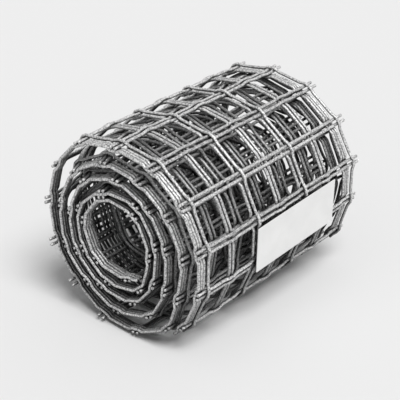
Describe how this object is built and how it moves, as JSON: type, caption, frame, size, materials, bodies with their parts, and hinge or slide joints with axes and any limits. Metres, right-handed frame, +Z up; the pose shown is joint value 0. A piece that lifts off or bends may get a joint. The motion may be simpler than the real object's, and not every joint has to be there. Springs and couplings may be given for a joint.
{
  "type": "roll of crimped wire mesh",
  "caption": "Short roll of square-opening crimped steel wire mesh lying on its side, open bore through its turns, blank card label on its outer turn.",
  "frame": {"origin": "on the surface the roll lies on, straight below the middle of its outer turn, at mid length", "axes": "+X along the roll, +Z up, -Y the side that carries the label"},
  "size_m": [0.168, 0.1366, 0.135],
  "materials": {
    "steel_wire": "bare drawn steel wire, dull grey with bright rubbed crowns",
    "label_card": "smooth white card, satin"
  },
  "bodies": {
    "root": {"mesh_roll": "steel_wire", "label": "label_card"}
  },
  "joints": []
}
